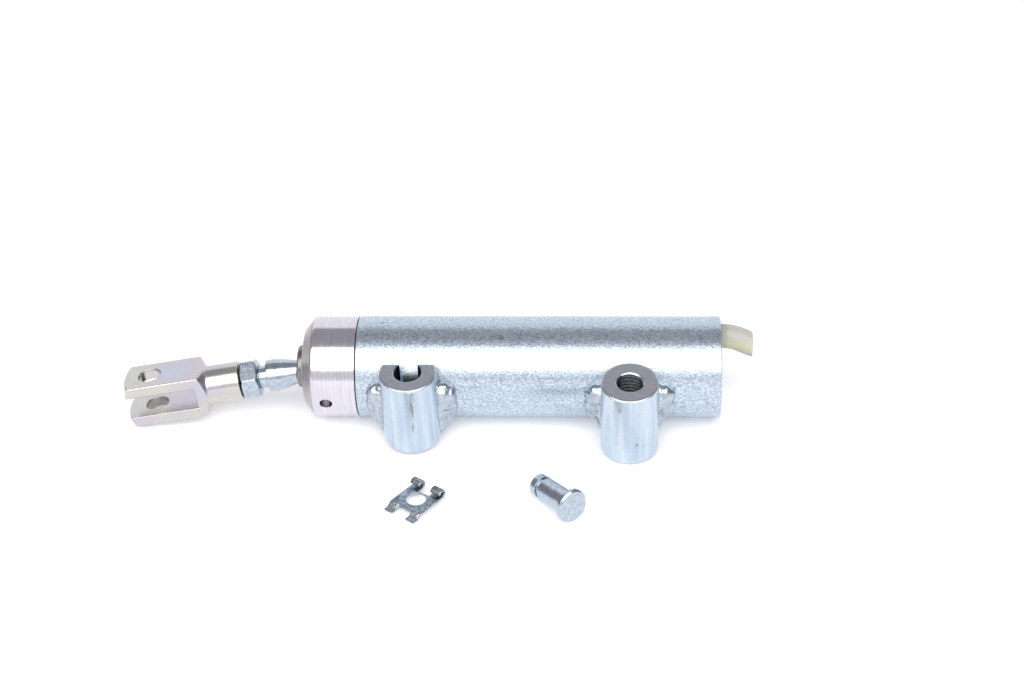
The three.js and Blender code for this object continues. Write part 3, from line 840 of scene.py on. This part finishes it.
def piston_parts():
    x = PISTON_X
    outer, bore = 14.6, 5.2
    seal_rear, seal_front, seal_floor = x - 2.4, x - 5.4, 12
    guide_rear, guide_front, guide_floor = x - 7.6, x - 11.6, 13.5
    profile = [(x, bore), (x, outer),
               (seal_rear, outer), (seal_rear, seal_floor), (seal_front, seal_floor), (seal_front, outer),
               (guide_rear, outer), (guide_rear, guide_floor), (guide_front, guide_floor),
               (guide_front, outer), (PISTON_FRONT, outer), (PISTON_FRONT, bore)]
    settle(turned("piston_body", profile, UPRIGHT, 0.3, closed=True), "piston",
           "turned_aluminium", "turned_aluminium", "piston")
    lip = [(x - 5.2, 12.2), (x - 5.2, 14.4), (x - 2.6, 14.85), (x - 2.6, 14.2),
           (x - 3.9, 13.4), (x - 2.6, 12.7), (x - 2.6, 12.2)]
    settle(turned("lip_seal", lip, UPRIGHT, 0.15, closed=True), "piston", "seal_rubber",
           "seal_rubber", "piston_lip_seal")
    guide = [(x - 11.4, 13.7), (x - 11.4, 14.85), (x - 7.8, 14.85), (x - 7.8, 13.7)]
    settle(turned("guide_ring", guide, UPRIGHT, 0.2, closed=True), "piston", "natural_nylon",
           "natural_nylon", "piston_guide_ring")


def trunk_rod():
    floor, groove = PIVOT.x + 6.8, PIVOT.x - 5
    profile = [(floor, 0), (floor, 6.5), (groove, 6.5), (groove, 7), (groove - 1.4, 7),
               (groove - 1.4, 6.5), (NOSE_X, 7.1), (NOSE_X, 7.25), (NOSE_X + 0.4, 7.5),
               (NOSE_X + 2.8, TRUNK_RADIUS), (PISTON_FRONT - 0.3, TRUNK_RADIUS),
               (PISTON_FRONT - 0.3, 5), (PISTON_X + 5.3, 5), (PISTON_X + 5.3, 0)]
    settle(turned("trunk", profile, UPRIGHT, 0.6), "piston", "turned_steel", "turned_steel", "trunk_rod")
    ring = [(groove - 1.2, 5.7), (groove - 1.2, 6.8), (groove - 0.2, 6.8), (groove - 0.2, 5.7)]
    settle(turned("snap_wire", ring, UPRIGHT, 0.2, closed=True), "piston", "spring_steel",
           "spring_wire", "snap_ring")
    back, front = PIVOT.x - 2.4, PIVOT.x - 4.7
    retainer = [(back, 4.7), (back, 6.3), (front, 6.3), (front, 5.2)]
    settle(turned("ball_ring", retainer, UPRIGHT, 0.25, closed=True), "piston",
           "bearing_bronze", "sintered_bronze", "ball_retainer")


def hexagon(a, b, flats):
    """Distance outside a hexagon with corners on the b axis."""
    tilted = 0.5 * np.abs(a) + math.sqrt(0.75) * np.abs(b)
    return smax(np.abs(a), tilted, 0.3) - flats / 2


def nut_field(x, y, z, start, light_and_shade_by_height, flats, minor, major, pitch):
    """A chamfered hexagon nut with a real thread, between x = start and start + height."""
    radius = np.hypot(y, z)
    body = smax(hexagon(y, z, flats), slab(x, start, start + light_and_shade_by_height), 0.2)
    rim = np.maximum(x - start - light_and_shade_by_height, start - x)
    body = smax(body, 0.5 * (radius - flats * 0.455) + math.sqrt(0.75) * rim, 0.25)
    wall = major - (major - minor) * thread_wave(x, np.arctan2(z, y), pitch)
    return smax(body, np.maximum(wall, major + 0.3 + rim) - radius, 0.15)


def piston_nut():
    def field(x, y, z):
        return nut_field(x, y, z, PISTON_X + 0.2, 4.8, 16, 5.15, 5.6, 1.5)
    piece = carved("piston_lock_nut", field, (-12.3, -9.3, -9.3), (-7.5, 9.3, 9.3), 0.25, UPRIGHT)
    settle(piece, "piston", "zinc_plate", "bright_zinc", "piston_nut")


# ---------- ball joint, push rod, nut and fork ----------
# Along the rod, s is the distance out from the ball's centre. The rod's own axis is -X.
NUT_START, NUT_HEIGHT, NUT_FLATS = 26.2, 6.5, 13
NUT_TURN = math.radians(5)
NUT_END = NUT_START + NUT_HEIGHT
FORK_START = NUT_END + 0.3
PIN_STATION = FORK_START + 32
FORK_TIP = PIN_STATION + 10.3
SHOULDER = PIN_STATION - 20.2
NECK_RADIUS = 7
THREAD_PITCH = 1.25


def ball_seat():
    edge = math.radians(115)
    inner = [(-5.3 * math.cos(t), 5.3 * math.sin(t)) for t in np.linspace(math.pi, edge, 14)]
    outer = [(-6.2 * math.cos(t), 6.2 * math.sin(t)) for t in np.linspace(edge, math.pi, 14)]
    inner[0], outer[-1] = (5.3, 0), (6.2, 0)
    place = axes_at(PIVOT, Vector((0, 1, 0)).cross(Vector(joints["rod_yaw"]["axis"])),
                    joints["rod_yaw"]["axis"])
    settle(turned("seat_cup", inner + outer, place, 0.1, sides=96), "ball_seat",
           "bearing_bronze", "sintered_bronze", "ball_seat_cup")


def push_rod():
    """Ball, waist, ogive, collar and an M8 thread."""
    stations = np.array([(3.8, 3.2), (5.5, 3.2), (9.5, 3.6), (13, 4.35), (16.5, 5.1), (19.6, 5.62)])
    rod_end = NUT_END + 15
    ball_radius, collar_radius, collar_start, collar_end = 5, 5.75, 19.9, 23.3
    crest, root, run_out = 4.0, 3.3, 0.8

    def field(x, y, z):
        s = -x
        radius = np.hypot(y, z)
        ball = np.sqrt(s * s + radius * radius) - ball_radius
        ogive = radius - np.interp(s, stations[:, 0], stations[:, 1])
        ogive = smax(ogive * 0.98, slab(s, 2, 21), 0.3)
        collar = smax(radius - collar_radius, slab(s, collar_start, collar_end), 0.5)
        wave = thread_wave(s, np.arctan2(z, y), THREAD_PITCH)
        lead = np.clip(np.minimum(s - NUT_START, rod_end - s) / run_out, 0, 1)
        screw = smax(radius - root - (crest - root) * wave * lead, slab(s, 22, rod_end), 0.25)
        plain = smax(radius - crest, slab(s, 22, NUT_START + 0.6), 0.3)
        screw = np.minimum(screw, plain)
        body = smin(ball, ogive, 0.8)
        return np.minimum(smin(body, collar, 0.35), screw)
    piece = carved("rod", field, (-rod_end, -6, -6), (5, 6, 6), 0.2, ROD)
    settle(piece, "push_rod", "zinc_plate", "bright_zinc", "push_rod")


def jam_nut():
    def field(x, y, z):
        return nut_field(x, y, z, -NUT_END, NUT_HEIGHT, NUT_FLATS, 4.15, 4.5, THREAD_PITCH)
    place = FORK @ Matrix.Rotation(NUT_TURN, 4, "X")
    piece = carved("lock_nut", field, (-NUT_END, -7.6, -7.6), (-NUT_START, 7.6, 7.6), 0.17, place)
    settle(piece, "fork", "zinc_plate", "bright_zinc", "jam_nut")


def clevis_fork():
    """A square fork with a turned neck, a turned shoulder, a domed tip, a slot and a pin hole."""
    start, dome = FORK_START, 26.0
    half_side, half_slot, corner_radius, pin_hole = 8, 4, 11.15, 4.05
    rise, run = 2.3, 4.3
    slot_behind_pin, bore_behind_pin = 16, 15
    thread_root, thread_depth = 4.65, 0.45

    def field(x, y, z):
        s = -x
        radius = np.hypot(y, z)
        neck = smax(radius - NECK_RADIUS, slab(s, start, SHOULDER + 4), 0.6)
        block = smax(np.abs(y) - half_side, np.abs(z) - half_side, 0.45)
        block = smax(block, SHOULDER - s, 0.3)
        slope = np.array((rise, run)) / math.hypot(rise, run)
        shoulder = (radius - NECK_RADIUS) * slope[0] - (s - SHOULDER) * slope[1]
        block = smax(block, shoulder, 0.6)
        block = smax(block, radius - corner_radius, 0.25)
        tip = np.sqrt((s - FORK_TIP + dome) ** 2 + radius ** 2) - dome
        block = smax(block, tip, 0.6)
        body = smin(neck, block, 0.8)
        slot = np.maximum(np.abs(z) - half_slot, PIN_STATION - slot_behind_pin - s)
        body = smax(body, -slot, 0.35)
        body = smax(body, pin_hole - np.hypot(s - PIN_STATION, y), 0.4)
        wave = thread_wave(s, np.arctan2(z, y), THREAD_PITCH)
        wall = thread_root - thread_depth * wave
        bore = np.maximum(radius - wall, s - PIN_STATION + bore_behind_pin)
        return smax(body, -bore, 0.3)
    piece = carved("fork_body", field, (-FORK_TIP, -8, -8), (-start, 8, 8), 0.24, FORK)
    settle(piece, "fork", "yellow_zinc", "iridescent_zinc", "clevis_fork")


# ---------- loose clevis pin and spring clip ----------
def clevis_pin():
    """The pin lies on its head's rim and the end of its shank."""
    head, rim, shank, length = 5.75, 1.6, 3.95, 19.7
    groove_start, groove_end, groove_radius = 15.1, 16.3, 3.1
    end = length - 0.8
    slope = math.atan((head - shank) / (end - rim))
    lift = head * math.cos(slope) + rim * math.sin(slope) + 0.02
    place = (Matrix.Translation(Vector((-50.9, -66.2, BENCH + lift)) * MM)
             @ Matrix.Rotation(math.radians(129), 4, "Z") @ Matrix.Rotation(slope, 4, "Y"))
    profile = [(0.35, 0), (0.05, 0.55), (0, head - 0.6), (0.5, head), (rim, head),
               (rim + 0.6, head - 0.6), (rim + 0.6, shank), (groove_start, shank),
               (groove_start, groove_radius), (groove_end, groove_radius), (groove_end, shank),
               (end, shank), (length, shank - 0.8), (length, 0)]
    piece = turned("pin", profile, place, 0.2)
    settle(piece, "clevis_pin", "zinc_plate", "bright_zinc", "clevis_pin")


def pin_clip():
    """One bent strip: two feet, a plate with the pin hole, and two rolled ends."""
    width, sheet, curl, plate, level = 13, 0.9, 1.3, 11.6, 1.8
    hole_x, hole_radius = 5.4, 3.5
    foot = sheet / 2 + 0.02
    line = [(-3.4, foot), (-1.6, foot), (-0.2, level), (plate, level)]
    for angle in np.radians(np.arange(12.5, 251, 12.5)):
        line.append((plate + curl * math.sin(angle), level + curl * (1 - math.cos(angle))))
    line = np.array(line)

    def field(x, y, z):
        nearest = np.full(np.shape(x), 1e9)
        for (ax, az), (bx, bz) in zip(line[:-1], line[1:]):
            ex, ez = bx - ax, bz - az
            t = np.clip(((x - ax) * ex + (z - az) * ez) / (ex * ex + ez * ez), 0, 1)
            nearest = np.minimum(nearest, np.hypot(x - ax - t * ex, z - az - t * ez))
        body = smax(nearest - sheet / 2, np.abs(y) - width / 2, 0.35)
        body = smax(body, hole_radius - np.hypot(x - hole_x, y), 0.3)
        rear_gap = smax(plate - 2.4 - x, np.abs(y) - 2.4, 0.6)
        front_gap = smax(x + 0.5, np.abs(y) - 2.9, 0.6)
        return smax(smax(body, -rear_gap, 0.3), -front_gap, 0.3)
    place = (Matrix.Translation(Vector((-107.3, -62, BENCH + 0.02)) * MM)
             @ Matrix.Rotation(math.radians(54.4), 4, "Z"))
    piece = carved("clip", field, (-3.9, -6.5, 0), (13.5, 6.5, 5), 0.14, place)
    settle(piece, "pin_clip", "spring_steel", "dark_strip", "pin_clip")


# ---------- stage ----------
def floor():
    size = 6.0
    bpy.ops.mesh.primitive_plane_add(size=size, location=(-0.07, 0, BENCH * MM - 0.0001))
    plane = bpy.context.object
    plane.name = "floor"
    f = Finish("floor", (0.86, 0.86, 0.88), 0, 0.9)
    f.shader.inputs["Emission Color"].default_value = (0.97, 0.98, 1, 1)
    f.shader.inputs["Emission Strength"].default_value = 0.22
    f.feed(f.colours(f.noise(200, 2), [(0.3, (0.85, 0.85, 0.87)), (0.7, (0.87, 0.87, 0.89))]), "Base Color")
    plane.data.materials.append(f.material)


def surroundings():
    """A light tent: pale behind, dim straight overhead and at the sides, lit from the front."""
    world = bpy.data.worlds.new("tent")
    bpy.context.scene.world = world
    world.use_nodes = True
    nodes, link = world.node_tree.nodes, world.node_tree.links.new
    parts = nodes.new("ShaderNodeSeparateXYZ")
    link(nodes.new("ShaderNodeTexCoord").outputs["Generated"], parts.inputs[0])

    def maths(operation, a, b):
        node = nodes.new("ShaderNodeMath")
        node.operation = operation
        for socket, value in zip(node.inputs, (a, b)):
            if isinstance(value, (int, float)):
                socket.default_value = value
            else:
                link(value, socket)
        return node.outputs[0]
    forward = maths("MULTIPLY", parts.outputs["Y"], -1)
    angle = maths("ARCTAN2", forward, parts.outputs["Z"])
    share = maths("ADD", maths("DIVIDE", angle, 2 * math.pi), 0.5)
    ramp = nodes.new("ShaderNodeValToRGB")
    link(share, ramp.inputs["Fac"])
    pale, dark, dim = (1.12, 1.13, 1.18), (0.40, 0.40, 0.42), (0.84, 0.83, 0.86)
    stops = [(-180, pale), (-43, pale), (-38, dark), (10, dark), (16, dim), (84, dim), (90, pale)]
    elements = ramp.color_ramp.elements
    while len(elements) < len(stops):
        elements.new(0.5)
    for element, (degrees, colour) in zip(elements, stops):
        element.position = (degrees + 180) / 360
        element.color = (*colour, 1)
    sideways = maths("ABSOLUTE", parts.outputs["X"], 0)
    mix = nodes.new("ShaderNodeMix")
    mix.data_type = "RGBA"
    link(maths("MULTIPLY", maths("SUBTRACT", sideways, 0.55), 5), mix.inputs["Factor"])
    link(ramp.outputs["Color"], mix.inputs[6])
    mix.inputs[7].default_value = (0.36, 0.34, 0.35, 1)
    link(mix.outputs[2], nodes["Background"].inputs["Color"])


def softbox():
    """The key light, a panel above and in front."""
    low, high = math.radians(15), math.radians(67)
    distance = 1.3
    lean = (low + high) / 2
    light = bpy.data.lights.new("softbox", "AREA")
    light.shape = "RECTANGLE"
    light.size = 3.4
    light.size_y = 2 * distance * math.tan((high - low) / 2)
    light.energy = 30
    light.color = (1, 0.99, 0.98)
    lamp = bpy.data.objects.new("softbox", light)
    lamp.location = (-0.08, -distance * math.sin(lean), distance * math.cos(lean))
    lamp.rotation_euler = (lean, 0, 0)
    bpy.context.scene.collection.objects.link(lamp)


def camera():
    """A long lens, a little to the right of square-on, looking down on the bench."""
    azimuth, elevation, roll = math.radians(3.52), math.radians(32.47), math.radians(-1.81)
    target, distance = Vector((-0.07356, 0, 0.01056)), 0.7084
    ahead = Vector((-math.sin(azimuth) * math.cos(elevation),
                    math.cos(azimuth) * math.cos(elevation), -math.sin(elevation)))
    right = Vector((math.cos(azimuth), math.sin(azimuth), 0))
    up = right.cross(ahead)
    side = right * math.cos(roll) + up * math.sin(roll)
    top = up * math.cos(roll) - right * math.sin(roll)
    lens = bpy.data.cameras.new("camera")
    lens.lens, lens.sensor_width = 70.3, 36
    eye = bpy.data.objects.new("camera", lens)
    turn = Matrix((side, top, -ahead)).transposed().to_4x4()
    eye.matrix_world = Matrix.Translation(target - ahead * distance) @ turn
    bpy.context.scene.collection.objects.link(eye)
    bpy.context.scene.camera = eye


barrel_tube()
rear_cover()
rear_cover_weld()
front_boss()
rear_boss()
for side, hand in ((-1, "left"), (1, "right")):
    fillet_weld(f"front_weld_{hand}", FRONT_BOSS_X, front_boss_body, side, f"front_boss_weld_{hand}")
    fillet_weld(f"rear_weld_{hand}", REAR_BOSS_X, rear_boss_body, side, f"rear_boss_weld_{hand}")
front_cap()
barrel_fittings()
return_spring()
air_elbow()
piston_parts()
trunk_rod()
piston_nut()
ball_seat()
push_rod()
jam_nut()
clevis_fork()
clevis_pin()
pin_clip()
floor()
surroundings()
softbox()
camera()
bpy.context.scene.view_settings.view_transform = "Standard"
